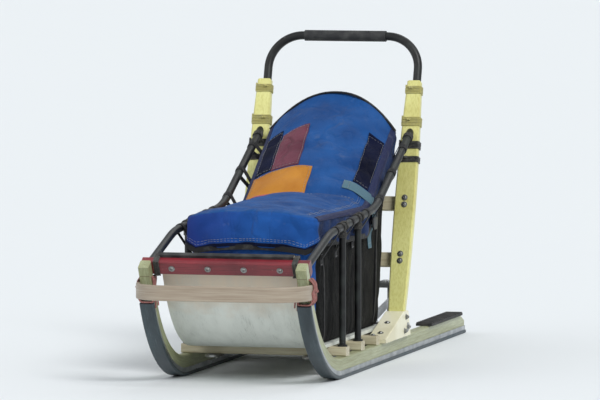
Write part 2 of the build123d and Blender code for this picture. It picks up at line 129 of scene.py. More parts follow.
class Look:
    """A Principled material, with short calls for the nodes that feed it."""

    def __init__(self, name, **sockets):
        self.material = bpy.data.materials.new(name)
        self.material.use_nodes = True
        self.tree = self.material.node_tree
        self.shader = self.tree.nodes["Principled BSDF"]
        for socket, value in sockets.items():
            self.shader.inputs[socket.replace("_", " ")].default_value = value
        self.place = self.add("TexCoord").outputs["Object"]
        self.normal = None

    def feed(self, socket, value):
        if isinstance(value, bpy.types.NodeSocket):
            self.tree.links.new(value, socket)
        else:
            socket.default_value = linear(value) if socket.type == "RGBA" else value

    def add(self, kind, inputs=(), **settings):
        node = self.tree.nodes.new("ShaderNode" + kind)
        for name, value in settings.items():
            setattr(node, name, value)
        for name, value in dict(inputs).items():
            self.feed(node.inputs[name], value)
        return node

    def maths(self, operation, a, b=0.0, c=0.0):
        return self.add("Math", {0: a, 1: b, 2: c}, operation=operation).outputs[0]

    def times(self, a, b):
        return self.maths("MULTIPLY", a, b)

    def plus(self, a, b):
        return self.maths("ADD", a, b)

    def minus(self, a, b):
        return self.maths("SUBTRACT", a, b)

    def parts(self, vector):
        return self.add("SeparateXYZ", {0: vector}).outputs

    def noise(self, size, stretch=(1, 1, 1), detail=3.0, place=None, turn=(0, 0, 0), rough=0.5):
        """Noise whose patches are about size across, and longer along an axis whose stretch is small."""
        mapping = {"Vector": place or self.place, "Scale": stretch, "Rotation": turn}
        vector = self.add("Mapping", mapping).outputs["Vector"]
        inputs = {"Vector": vector, "Scale": 1 / size, "Detail": detail, "Roughness": rough}
        return self.add("TexNoise", inputs).outputs["Fac"]

    def within(self, value, low, high, to_low=0.0, to_high=1.0):
        inputs = {"Value": value, "From Min": low, "From Max": high, "To Min": to_low, "To Max": to_high}
        return self.add("MapRange", inputs).outputs["Result"]

    def patches(self, size, low, high, most=1.0, **noise_kind):
        """Patches of noise: 0 where it is under low, and most where it is over high."""
        return self.within(self.noise(size, **noise_kind), low, high, 0.0, most)

    def stripes(self, length, pitch):
        """A wave from -1 to 1 and back for each pitch of a length."""
        return self.maths("SINE", self.times(length, 2 * math.pi / pitch))

    def mixed(self, factor, a, b, kind="MIX"):
        node = self.add("Mix", data_type="RGBA", blend_type=kind)
        for number, value in ((0, factor), (6, a), (7, b)):
            self.feed(node.inputs[number], value)
        return node.outputs[2]

    def edges(self, radius):
        """How close the surface is to an outer edge, broken up as wear is."""
        soft = self.add("Bevel", {"Radius": radius}, samples=4).outputs["Normal"]
        hard = self.add("NewGeometry").outputs["Normal"]
        facing = self.add("VectorMath", {0: soft, 1: hard}, operation="DOT_PRODUCT").outputs["Value"]
        turned = self.within(self.minus(1.0, facing), 0.02, 0.16)
        return self.times(turned, self.patches(0.02, 0.38, 0.60, detail=5))

    def rubbed(self, body, colour, radius, share):
        """The body with another colour showing at its edges."""
        return self.mixed(self.times(self.edges(radius), share), body, colour)

    def run(self):
        """The lengths that a sewn or wound piece stores: along it, and round or across it."""
        vector = self.add("Attribute", attribute_name="run").outputs["Vector"]
        return self.parts(vector)[:2]

    def bump(self, height, depth, strength=1.0):
        inputs = {"Height": height, "Distance": depth, "Strength": strength}
        if self.normal:
            inputs["Normal"] = self.normal
        self.normal = self.add("Bump", inputs).outputs["Normal"]

    def finish(self, colour, roughness=None):
        self.feed(self.shader.inputs["Base Color"], colour)
        if roughness is not None:
            self.feed(self.shader.inputs["Roughness"], roughness)
        if self.normal:
            self.feed(self.shader.inputs["Normal"], self.normal)
        return self.material


def bent_place(look):
    """Coordinates that follow a runner round its upturn: across it, along it and up through it."""
    x, y, z = look.parts(look.place)
    ahead = look.minus(CONTACT_Y, y)
    below = look.minus(TURN_Z, z)
    turned = look.maths("GREATER_THAN", ahead, 0.0)
    arc = look.times(look.maths("ARCTAN2", ahead, below), TURN_Z)
    radius = look.maths("SQRT", look.plus(look.times(ahead, ahead), look.times(below, below)))
    along = look.plus(look.times(turned, look.minus(arc, ahead)), ahead)
    through = look.plus(look.times(turned, look.minus(radius, below)), below)
    return look.add("CombineXYZ", {"X": x, "Y": along, "Z": through}).outputs["Vector"]


def wood(name, pale, dark, grain=(1, 0.05, 1), bent=False, plies=0.0):
    """Varnished wood whose grain is long where its stretch is small, glued from plies of that thickness."""
    look = Look(name, Coat_Weight=0.25, Coat_Roughness=0.25)
    place = bent_place(look) if bent else look.place
    fine = look.noise(0.004, grain, 6.0, place)
    broad = look.noise(0.03, grain, 4.0, place)
    streak = look.noise(0.0016, tuple(0.3 * g if g < 1 else g for g in grain), 2.0, place)
    figure = look.plus(look.times(fine, 0.55), look.times(broad, 0.45))
    body = look.mixed(look.within(figure, 0.34, 0.66), pale, dark)
    body = look.mixed(look.within(streak, 0.60, 0.72, 0.0, 0.35), body, dark, "MULTIPLY")
    if plies:
        layer = look.maths("FRACT", look.maths("DIVIDE", look.parts(place)[2], plies))
        glue = look.maths("LESS_THAN", layer, 0.05)
        body = look.mixed(look.times(glue, 0.65), body, (96, 70, 44))
    body = look.rubbed(body, (206, 190, 158), 0.003, 0.6)
    look.bump(fine, 0.0006)
    look.bump(streak, 0.0003)
    return look.finish(body, look.within(broad, 0.3, 0.7, 0.36, 0.52))


def painted(name, colour, shade, under, wear=0.8, grain=None, turn=(0, 0, 0), metal=False):
    """Paint with soft changes of tone, small chips along its edges and what lies under it showing there."""
    look = Look(name, Coat_Weight=0.3, Coat_Roughness=0.2)
    tone = look.noise(0.16, detail=4)
    body = look.mixed(look.within(tone, 0.36, 0.66), colour, shade)
    if grain:
        lines = look.noise(0.004, grain, 5.0, turn=turn)
        body = look.mixed(look.within(lines, 0.45, 0.75, 0.0, 0.45), body, shade, "MULTIPLY")
        look.bump(lines, 0.0008)
    chips = look.times(look.edges(0.0035), wear)
    specks = look.patches(0.006, 0.70, 0.74, 0.7, detail=6)
    body = look.mixed(look.maths("MAXIMUM", chips, specks), body, under)
    look.bump(look.minus(1.0, chips), 0.0004)
    look.bump(look.noise(0.002, detail=2), 0.00012)
    if metal:
        look.feed(look.shader.inputs["Metallic"], look.times(chips, 0.9))
    return look.finish(body, look.within(tone, 0.3, 0.7, 0.32, 0.48))


def metal(name, bright, dull, stretch=(1, 1, 1), roughness=0.34, bent=False):
    """Bare metal with brushed lines along it and dull handled patches."""
    look = Look(name, Metallic=1.0)
    place = bent_place(look) if bent else look.place
    brushed = look.noise(0.0015, stretch, 4.0, place)
    cloudy = look.noise(0.05, detail=5, place=place)
    body = look.mixed(look.within(cloudy, 0.35, 0.7), bright, dull)
    body = look.mixed(look.within(brushed, 0.3, 0.7, 0.0, 0.35), body, dull)
    look.bump(brushed, 0.0002)
    uneven = look.plus(cloudy, look.times(brushed, 0.4))
    return look.finish(body, look.within(uneven, 0.5, 0.95, roughness - 0.08, roughness + 0.16))


def plastic(name, colour, scuffed, stretch=(1, 0.03, 1), bent=False, roughness=0.42, painted_reflection=None):
    """Moulded plastic with scratches, paler scuffs, and a painted reflection that warms it upwards: its
    colour, and the heights from where up to where.
    """
    look = Look(name)
    place = bent_place(look) if bent else look.place
    # Painted reflection: the colour turns warm from the lower height to the upper one.
    if painted_reflection:
        uneven = look.maths("MULTIPLY_ADD", look.noise(0.05, detail=5), 0.12, -0.06)
        height = look.plus(look.parts(look.place)[2], uneven)
        colour = look.mixed(look.within(height, *painted_reflection[1:]), colour, painted_reflection[0])
    scratches = look.noise(0.0022, stretch, 3.0, place, rough=0.7)
    scuffs = look.noise(0.04, tuple(0.25 + 0.75 * s for s in stretch), 5.0, place)
    marks = look.times(look.within(scratches, 0.56, 0.70), look.within(scuffs, 0.40, 0.62))
    body = look.mixed(look.within(scuffs, 0.35, 0.75, 0.0, 0.4), colour, scuffed)
    body = look.mixed(look.times(marks, 0.8), body, scuffed)
    body = look.rubbed(body, scuffed, 0.002, 0.7)
    look.bump(marks, -0.0005)
    look.bump(look.noise(0.0015, detail=2), 0.0001)
    return look.finish(body, look.within(scuffs, 0.35, 0.7, roughness - 0.1, roughness + 0.15))


def rubber(name, colour, dusty, grain=0.0018, depth=0.0005):
    """Matt rubber with a pebbled face and pale dust in it."""
    look = Look(name)
    inputs = {"Vector": look.place, "Scale": 1 / grain}
    pebbles = look.add("TexVoronoi", inputs, feature="SMOOTH_F1").outputs["Distance"]
    dust = look.noise(0.03, detail=6)
    body = look.mixed(look.within(dust, 0.42, 0.72, 0.0, 0.55), colour, dusty)
    body = look.rubbed(body, dusty, 0.002, 0.5)
    look.bump(pebbles, -depth)
    return look.finish(body, look.within(dust, 0.3, 0.7, 0.62, 0.85))


def coated_tube(name):
    """Black powder coat: a fine orange peel, grey-green patches that are partly rubbed wear and partly
    painted highlight, and a few bare chips.
    """
    look = Look(name, Specular_IOR_Level=0.4)
    worn = look.noise(0.05, detail=6)
    # Grey-green patches: partly rubbed wear, partly painted highlight.
    body = look.mixed(look.within(worn, 0.46, 0.72, 0.0, 0.7), (18, 19, 20), (48, 55, 52))
    chips = look.patches(0.007, 0.72, 0.75, detail=5)
    body = look.mixed(chips, body, (150, 152, 150))
    look.bump(look.noise(0.0016, detail=2), 0.00035)
    look.bump(chips, -0.0003)
    return look.finish(body, look.within(worn, 0.3, 0.7, 0.34, 0.5))


def fabric(name, colour, shade, dust=0.2, sheen=0.05, gloss=0.3, tint=None):
    """Pack cloth: a plain weave, faded and dusty patches, creases, and a tint towards its right side."""
    look = Look(name, Sheen_Weight=sheen, Sheen_Roughness=0.4, Specular_IOR_Level=gloss)
    along, across = look.run()
    weave = look.times(look.stripes(along, 0.0016), look.stripes(across, 0.0016))
    worn = look.noise(0.09, detail=6)
    body = look.mixed(look.within(worn, 0.34, 0.68), colour, shade)
    if tint:
        sideways = look.plus(look.parts(look.place)[0], look.times(worn, 0.2))
        body = look.mixed(look.within(sideways, 0.10, -0.12), body, tint)
    body = look.mixed(look.within(weave, -1, 1, 0.0, 0.22), body, shade, "MULTIPLY")
    body = look.mixed(look.patches(0.035, 0.60, 0.80, dust, detail=7, rough=0.65), body, (150, 156, 160))
    creased = look.within(look.noise(0.2, detail=2), 0.38, 0.60, 0.1, 0.8)
    for size, stretch, depth in ((0.13, (0.8, 1, 0.6), 0.0075), (0.06, (1, 0.6, 0.5), 0.0022)):
        level = look.noise(size, stretch, 2.0, turn=(0, 0, size * 9))
        off = look.maths("ABSOLUTE", look.minus(level, 0.5))
        look.bump(look.within(off, 0.0, 0.06), depth, creased)
    look.bump(look.noise(0.045, detail=4), 0.004, 0.5)
    look.bump(look.noise(0.012, (1, 1, 0.5), detail=3), 0.0012, 0.6)
    look.bump(weave, 0.00025)
    return look.finish(body, look.within(worn, 0.3, 0.7, 0.66, 0.84))


def webbing(name, colour, shade):
    """Woven strap: ribs along it and a fine cross weave."""
    look = Look(name, Sheen_Weight=0.06, Specular_IOR_Level=0.3)
    along, across = look.run()
    ribs, picks = look.stripes(across, 0.0035), look.stripes(along, 0.0018)
    weave = look.plus(look.times(ribs, 0.6), look.times(picks, 0.4))
    body = look.mixed(look.within(weave, -1, 1), shade, colour)
    body = look.mixed(look.patches(0.02, 0.55, 0.75, 0.15, detail=5), body, (150, 152, 150))
    look.bump(weave, 0.0004)
    return look.finish(body, 0.7)


def laid_cord(name, colour, shade, lay=0.0045):
    """Twisted cord: strands that run round it as they run along it."""
    look = Look(name, Sheen_Weight=0.15)
    along, around = look.run()
    strands = look.stripes(look.plus(look.maths("DIVIDE", along, lay), look.times(around, 2.0)), 1)
    body = look.mixed(look.within(strands, -1, 1), shade, colour)
    body = look.mixed(look.patches(0.015, 0.5, 0.75, 0.35, detail=5), body, (140, 138, 132))
    look.bump(strands, 0.0006)
    return look.finish(body, 0.72)


LOOKS = {
    "rail_wood": wood("rail_ash", (172, 178, 140), (130, 132, 92), bent=True, plies=0.0095),
    "track_metal": metal("track_aluminium", (190, 194, 197), (160, 164, 168), (1, 0.02, 1), bent=True),
    "shoe_plastic": plastic("runner_plastic", (38, 50, 56), (98, 112, 118), bent=True),
    "pad_rubber": rubber("pad_rubber", (34, 34, 36), (104, 102, 98)),
    "post_paint": painted(
        "post_lacquer",
        (224, 222, 146),
        (202, 196, 118),
        (176, 140, 84),
        grain=(1, 1, 0.05),
        turn=(LEAN, 0, 0),
    ),
    "foot_paint": painted("foot_cream", (240, 236, 208), (222, 216, 182), (150, 152, 150), metal=True),
    "dark_tube": coated_tube("black_powder_coat"),
    "steel": metal("zinc_steel", (176, 178, 178), (120, 120, 116), roughness=0.36),
    "member_wood": wood("member_ash", (206, 200, 172), (172, 160, 128), grain=(0.05, 1, 1)),
    # Pinkish where its edges wear: partly paint worn through, partly painted highlight along the edges.
    "nose_paint": painted("nose_red", (132, 38, 48), (96, 26, 36), (176, 116, 108), 0.9, grain=(0.05, 1, 1)),
    # Warm near the top of its front end: a painted reflection of the red nose bar.
    "bed_plastic": plastic(
        "bed_sheet_plastic",
        (222, 226, 218),
        (186, 190, 182),
        (1, 0.05, 1),
        bent=True,
        roughness=0.4,
        painted_reflection=((206, 190, 168), 0.20, 0.29),
    ),
    "brush_wood": wood("brush_bow_ash", (172, 160, 142), (142, 126, 108), grain=(0.035, 0.035, 1)),
    "grip_rubber": rubber("grip_rubber", (30, 31, 33), (88, 88, 86), 0.0012, 0.0003),
    "brake_metal": metal("brake_aluminium", (186, 189, 192), (136, 138, 140), (1, 0.05, 1), 0.38),
    "mat_rubber": rubber("mat_rubber", (40, 40, 41), (92, 90, 87), 0.003, 0.0006),
}
BLUE = fabric("bag_blue", (16, 86, 156), (14, 68, 130))
FRONT_BLUE = fabric("bag_front_blue", (16, 90, 172), (14, 72, 144), tint=(22, 50, 134))
# The lid's blue made darker: painted shade for its side flaps and the flap behind it.
SHADED_FLAP_BLUE = fabric("bag_flap_painted_shade_blue", (16, 54, 108), (12, 36, 78), dust=0.12)
# Navy cloth for the bag's back, and as painted shade in the lid's flank strips and in the band low on its
# front.
NAVY = fabric("bag_navy", (11, 20, 54), (8, 13, 36), 0.05, 0.03, 0.1)
BLACK = fabric("bag_black", (12, 13, 13), (7, 7, 7), 0.05, 0.03, 0.08)
ORANGE = fabric("panel_orange", (206, 142, 50), (186, 120, 40), dust=0.1)
MAROON = fabric("panel_maroon", (122, 62, 80), (92, 44, 60), dust=0.1)
TAPE = webbing("black_webbing", (26, 26, 29), (15, 15, 18))
NAVY_TAPE = webbing("navy_webbing", (24, 38, 88), (14, 22, 56))
RED_TAPE = webbing("red_tape", (206, 104, 92), (168, 74, 70))
GREY_STRAP = webbing("grey_green_webbing", (92, 128, 142), (62, 92, 106))
THREAD = laid_cord("pale_thread", (196, 198, 200), (150, 152, 156), 0.001)
DARK_CORD = laid_cord("dark_cord", (52, 50, 46), (30, 29, 27))
OLIVE_CORD = laid_cord("olive_cord", (206, 198, 118), (152, 144, 82))
RED_CORD = laid_cord("red_brown_cord", (176, 112, 104), (124, 70, 66))
BUCKLE = plastic("buckle_plastic", (34, 36, 38), (90, 92, 94), (1, 1, 1))
SPRING = metal("spring_steel", (150, 152, 154), (90, 92, 94), roughness=0.3)


# Building of pieces
def circle_points(x, y, radius, count=12):
    """Points round a circle in a flat section."""
    turns = [2 * math.pi * k / count for k in range(count)]
    return [(x + radius * math.cos(a), y + radius * math.sin(a)) for a in turns]


def box_points(x, y, half_x, half_y):
    """Corners of a box in a flat section."""
    return [(x + a * half_x, y + b * half_y) for a in (-1, 1) for b in (-1, 1)]


def direction(path, n, closed):
    """The way a path runs at its point n."""
    count = len(path)
    before, after = (n - 1, (n + 1) % count) if closed else (max(n - 1, 0), min(n + 1, count - 1))
    return (path[after] - path[before]).normalized()


def turned_side(side, tangent):
    """A side direction square to the tangent, as near the last one as can be."""
    side = side - tangent * side.dot(tangent)
    return side.normalized() if side.length > 1e-6 else tangent.orthogonal().normalized()


class Form:
    """Points and faces gathered from small shapes into one piece, with the lengths run at each point."""

    def __init__(self):
        self.points, self.runs, self.faces, self.kinds = [], [], [], []

    def point(self, place, run):
        """Adds a point and gives its number."""
        self.points.append(Vector(place))
        self.runs.append(run)
        return len(self.points) - 1

    def face(self, corners, kind=0):
        self.faces.append(tuple(corners))
        self.kinds.append(kind)

    def columns(self, columns, kinds):
        """Joins columns of point numbers side by side, each with faces of its kind."""
        for a, b, kind in zip(columns, columns[1:], kinds):
            for k in range(len(a) - 1):
                self.face((a[k], b[k], b[k + 1], a[k + 1]), kind)

    def sheet(self, rows, runs, kind=0):
        """Adds a grid of points joined by faces, and gives their numbers in rows."""
        grid = [[self.point(p, run) for p, run in zip(*pair)] for pair in zip(rows, runs)]
        self.columns(grid, [kind] * len(grid))
        return grid

    def rings(self, rings, runs=None, closed=False):
        """Joins rings of equal counts with faces, and caps both ends unless it is closed."""
        size = len(rings[0])
        runs = runs or [[(0, 0)] * size] * len(rings)
        numbers = [[self.point(p, run) for p, run in zip(*pair)] for pair in zip(rings, runs)]
        for a, b in zip(numbers, numbers[1:] + (numbers[:1] if closed else [])):
            for n in range(size):
                m = (n + 1) % size
                self.face((a[n], a[m], b[m], b[n]))
        if not closed:
            self.face(reversed(numbers[0]))
            self.face(numbers[-1])

    def tube(self, path, radius, sides=8, closed=False):
        """A round cord or wire along a path."""
        section = circle_points(0, 0, radius, sides)
        rings, runs, length = [], [], 0
        side = direction(path, 0, closed).orthogonal()
        for n, point in enumerate(path):
            tangent = direction(path, n, closed)
            side = turned_side(side, tangent)
            other = tangent.cross(side)
            rings.append([point + side * x + other * y for x, y in section])
            runs.append([(length, k / sides) for k in range(sides)])
            length += (path[(n + 1) % len(path)] - point).length
        self.rings(rings, runs, closed)

    def band(self, path, across, width, thick, closed=False):
        """A flat strap along a path, its width along the direction across, or one direction a point."""
        half = [(-0.5, 0.3), (-0.5, -0.3), (-0.46, -0.5), (0.46, -0.5)]
        section = half + [(-a, -b) for a, b in half]
        rings, runs, length = [], [], 0
        for n, point in enumerate(path):
            wide = (across[n] if isinstance(across, list) else across).normalized()
            out = direction(path, n, closed).cross(wide).normalized()
            rings.append([point + wide * (a * width) + out * (b * thick) for a, b in section])
            runs.append([(length, a * width) for a, _ in section])
            length += (path[(n + 1) % len(path)] - point).length
        self.rings(rings, runs, closed)

    def turned(self, foot, axis, profile, sides=20):
        """A turned form along an axis, from rows of radius, height and whether the ring is six-sided."""
        axis = axis.normalized()
        side = axis.orthogonal().normalized()
        other = axis.cross(side)
        rings = []
        for radius, height, six in profile:
            ring = []
            for k, (x, y) in enumerate(circle_points(0, 0, radius, sides)):
                a = 2 * math.pi * k / sides
                flat = math.cos((a + math.pi / 6) % (math.pi / 3) - math.pi / 6) if six else 1
                ring.append(foot + axis * height + (side * x + other * y) / flat)
            rings.append(ring)
        self.rings(rings)

    def make(self, name, materials, body="root", slot=None, sharp=35):
        """Makes one piece that rides on a body, with edges kept sharp from that angle up."""
        mesh = bpy.data.meshes.new(name)
        mesh.from_pydata([tuple(p) for p in self.points], [], self.faces)
        for one in materials if isinstance(materials, list) else [materials]:
            mesh.materials.append(one)
        mesh.polygons.foreach_set("material_index", self.kinds)
        run = mesh.attributes.new("run", "FLOAT_VECTOR", "POINT")
        run.data.foreach_set("vector", [v for a, b in self.runs for v in (a, b, 0)])
        work = bmesh.new()
        work.from_mesh(mesh)
        bmesh.ops.recalc_face_normals(work, faces=work.faces)
        work.to_mesh(mesh)
        work.free()
        mesh.shade_smooth()
        mesh.set_sharp_from_angle(angle=math.radians(sharp))
        made = bpy.data.objects.new(name, mesh)
        scene.collection.objects.link(made)
        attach(made, body)
        return made if slot else made

    def sew(self, name, materials, sharp=35):
        """Makes a piece of the bag."""
        return self.make(name, materials, "root", "bag_fabric", sharp)


def hull(points, grow, count=30):
    """The convex outline round some flat points, grown by a distance and divided evenly."""
    ring = circle_points(0, 0, grow, 14)
    cloud = sorted({(round(x + a, 6), round(y + b, 6)) for x, y in points for a, b in ring})
    outline = []
    for run in (cloud, cloud[::-1]):
        chain = []
        for p in run:
            while len(chain) > 1:
                (ax, ay), (bx, by) = chain[-2:]
                if (bx - ax) * (p[1] - ay) - (by - ay) * (p[0] - ax) > 0:
                    break
                chain.pop()
            chain.append(p)
        outline += chain[:-1]
    outline += outline[:1]
    steps = [math.dist(a, b) for a, b in zip(outline, outline[1:])]
    even, n, gone = [], 0, 0.0
    for k in range(count):
        want = sum(steps) * k / count
        while gone + steps[n] < want:
            gone += steps[n]
            n += 1
        share = (want - gone) / steps[n]
        even.append(tuple(a + (b - a) * share for a, b in zip(outline[n], outline[n + 1])))
    return even


def wrap(form, middle, across, up, section, turns, radius, slant=0.0):
    """Winds a cord round a section drawn along across and up, side by side along the third direction."""
    axis = across.cross(up).normalized()
    outline = hull(section, radius)
    count = len(outline)
    path = []
    for k in range(int(turns * count) + 1):
        x, y = outline[k % count]
        shift = (k / count - turns / 2) * radius * 2.04 + dice.uniform(-0.08, 0.08) * radius
        path.append(middle + across * x + up * y + axis * (shift + slant * y))
    form.tube(path, radius, 7)


def knot(form, place, size, radius, ends=()):
    """A small knot pulled into a ball, with ends that hang from it: how far each goes across and down."""
    path = []
    for k in range(34):
        a = 2 * math.pi * k / 34
        x, y = math.sin(a) + 2 * math.sin(2 * a), math.cos(a) - 2 * math.cos(2 * a)
        path.append(place + Vector((x, y, -math.sin(3 * a))) * size / 3)
    form.tube(path, radius, 7, closed=True)
    shares = [k / 8 for k in range(9)]
    for across, down in ends:
        tail = [place + ACROSS * across * (1 - (1 - s) ** 2) - UP * down * s**1.5 for s in shares]
        form.tube(tail, radius * 0.95, 7)


def rail_place(y, side):
    """The middle of a side rail at a place along the sled, its direction there and the way up from it."""
    for a, b in zip(SIDE_RAIL, SIDE_RAIL[1:]):
        if y <= b.y or b is SIDE_RAIL[-1]:
            along = (b - a).normalized()
            return a.lerp(b, (y - a.y) / (b.y - a.y)) + ACROSS * side * SIDE_X, along, ACROSS.cross(along)


def on_cloth(tree, point, lift=0.0):
    """The nearest place on the outer face of the bag's cloth, lifted off it, and the way it faces."""
    place, normal, _, _ = tree.find_nearest(point)
    if normal.dot(place - BAG_MIDDLE) < 0:
        place, normal, _, _ = tree.find_nearest(place - normal * 0.008)
    return place + normal * lift, normal


def cloth_tree(made):
    """A search tree over a piece as it is with its modifiers."""
    bpy.context.view_layer.update()
    return BVHTree.FromObject(made, bpy.context.evaluated_depsgraph_get())


def settle(made, held, pressure, slack, cap, frames=20):
    """Lets the cloth fill and crease with its held points fixed, and moves no point further than cap."""
    mesh = made.data
    before = np.zeros(len(mesh.vertices) * 3)
    mesh.vertices.foreach_get("co", before)
    group = made.vertex_groups.new(name="held")
    group.add(held, 1.0, "REPLACE")
    cloth = made.modifiers.new("settle", "CLOTH")
    rules = cloth.settings
    rules.quality = 5
    rules.mass = 0.4
    rules.tension_stiffness = rules.compression_stiffness = 18
    rules.shear_stiffness = 8
    rules.bending_stiffness = 1.2
    rules.vertex_group_mass = "held"
    rules.use_pressure = True
    rules.uniform_pressure_force = pressure
    rules.shrink_min = -slack
    rules.effector_weights.gravity = 0
    cloth.collision_settings.use_collision = False
    cloth.point_cache.frame_start, cloth.point_cache.frame_end = 1, frames
    for number in range(1, frames + 1):
        scene.frame_set(number)
    settled = made.evaluated_get(bpy.context.evaluated_depsgraph_get())
    after = np.zeros_like(before)
    settled.data.vertices.foreach_get("co", after)
    made.modifiers.remove(cloth)
    made.vertex_groups.remove(group)
    scene.frame_set(1)
    move = (after - before).reshape(-1, 3)
    far = np.linalg.norm(move, axis=1, keepdims=True)
    limit = cap * np.tanh(far / cap)
    move *= np.divide(limit, far, out=np.zeros_like(far), where=far > 1e-9)
    mesh.vertices.foreach_set("co", before + move.ravel())
    mesh.update()


def crease(made, free, folds, looseness=lambda place: 1.0):
    """Presses folds into a settled cloth where it is loose: rows of their spacing, stretch and depth."""
    for number in free:
        vertex = made.data.vertices[number]
        loose = min(1.0, max(0.0, looseness(vertex.co)))
        for size, stretch, depth in folds:
            level = noise.noise(Vector(c * s / size for c, s in zip(vertex.co, stretch)))
            share = max(0.0, 1 - abs(level) / 0.22)
            vertex.co -= vertex.normal * depth * loose * share * share
    made.data.update()


def subdivide(made):
    smooth = made.modifiers.new("smooth", "SUBSURF")
    smooth.levels = smooth.render_levels = 1


# Cargo bag: a low box that sweeps up to the posts, under a fitted lid
BAG_FOLD_Y = BAG_FRONT_Y + 0.655
BAG_BACK_Y = 0.411
EDGE_LINE = ((BAG_FRONT_Y, 0.478), (BAG_FOLD_Y, 0.462), (BAG_BACK_Y, 0.700))
CROWN_LINE = ((BAG_FRONT_Y, 0.020), (BAG_FOLD_Y, 0.045), (BAG_BACK_Y, 0.092))
BACK_PLANE_Y = POST_Y - 0.0402
BACK_SLOPE = math.tan(LEAN)
BAG_CORNER = 0.03
SIDE_DROP, FRONT_DROP = 0.086, 0.114
LID_ROWS, WALL_ROWS = 8, 22
COLUMN_RUN = 0.0135
STRAP_Y = 0.048

# The bag's grid: its steps along and across, and its border from the left back round to the right back
STEPS_ALONG, STEPS_ACROSS = 78, 24
BORDER = [(i, STEPS_ACROSS) for i in range(STEPS_ALONG, 0, -1)]
BORDER += [(0, j) for j in range(STEPS_ACROSS, -1, -1)]
BORDER += [(i, 0) for i in range(1, STEPS_ALONG + 1)]
# Numbers of the border's columns that form the front with its corners
FRONT = range(STEPS_ALONG - 3, STEPS_ALONG + STEPS_ACROSS + 3)


def edge_height(y):
    """Height of the bag's top edges: nearly level to the fold, then rising to the posts."""
    spans = zip(EDGE_LINE, EDGE_LINE[1:])
    flat, steep = (a + (b - a) * (y - start) / (end - start) for (start, a), (end, b) in spans)
    half_gap = (flat - steep) / 2
    return (flat + steep) / 2 + math.sqrt(half_gap * half_gap + 0.006**2)


def crown(y):
    """How far the bag's middle stands above its top edges."""
    (start, a), (end, b) = CROWN_LINE[:2] if y < BAG_FOLD_Y else CROWN_LINE[1:]
    return a + (b - a) * ((y - start) / (end - start))


def back_y(z):
    """Where the bag's back lies at a height: it leans with the posts."""
    return BACK_PLANE_Y + (z - RAIL_TOP) * BACK_SLOPE


def bed_height(y):
    """Height of the bed's top: level, then turning up round the runners' centre."""
    ahead = CONTACT_Y - y
    return BED_TOP if ahead <= 0 else TURN_Z - math.sqrt((TURN_Z - BED_TOP) ** 2 - ahead**2)


def grid_rows(point_at):
    """The points of a whole grid, in rows across it from the front."""
    return [[point_at(i, j) for j in range(STEPS_ACROSS + 1)] for i in range(STEPS_ALONG + 1)]


class BagGrid:
    """Points of a bag-shaped box, whose top meets the leaning back and whose floor lies on the bed."""

    def __init__(self, half, front, lift):
        self.half, self.front, self.lift = half, front, lift
        self.top = grid_rows(self.top_point)

    def plan(self, i, j, end):
        y = self.front + (end - self.front) * (i / STEPS_ALONG)
        near = max(0.0, BAG_CORNER - (y - self.front))
        reach = self.half - (BAG_CORNER - math.sqrt(max(0.0, BAG_CORNER**2 - near**2)))
        return reach * (2 * j / STEPS_ACROSS - 1), y

    def height(self, x, y):
        return edge_height(y) + self.lift + crown(y) * (1 - abs(x / self.half) ** 2.2)

    def top_point(self, i, j):
        end = BAG_BACK_Y
        for _ in range(12):
            x, _ = self.plan(STEPS_ALONG, j, end)
            end = back_y(self.height(x, end))
        x, y = self.plan(i, j, end)
        return Vector((x, y, self.height(x, y)))

    def hung_point(self, i, j):
        """The top inside its border hangs clear of the lid's folds."""
        inside = 0 < i < STEPS_ALONG and 0 < j < STEPS_ACROSS
        return self.top[i][j] - UP * (0.012 if inside else 0)

    def floor_point(self, i, j):
        x, y = self.plan(i, j, back_y(BED_TOP))
        return Vector((x, y, bed_height(y) + 0.001))

    def below(self, place, drop):
        """A point below a border point, on the line down that follows the back's lean."""
        i, j = place
        return self.top[i][j] - UP * drop - BACK * (BACK_SLOPE * drop * i / STEPS_ALONG)

    def outward(self, place):
        """The direction away from the bag at a border point, seen in plan."""
        point = self.top[place[0]][place[1]]
        if point.y >= self.front + BAG_CORNER:
            return ACROSS * math.copysign(1, point.x)
        if abs(point.x) < self.half - BAG_CORNER:
            return -BACK
        corner = Vector((math.copysign(self.half - BAG_CORNER, point.x), self.front + BAG_CORNER))
        return (point.xy - corner).to_3d().normalized()


def lid_looseness(place):
    """How freely the lid creases, from 0 under its edge tape and its strap."""
    under_strap = Vector((0.160, STRAP_Y, edge_height(STRAP_Y) + 0.02))
    return min((BAG_HALF - 0.010 - abs(place.x)) / 0.035, ((place - under_strap).length - 0.045) / 0.05)


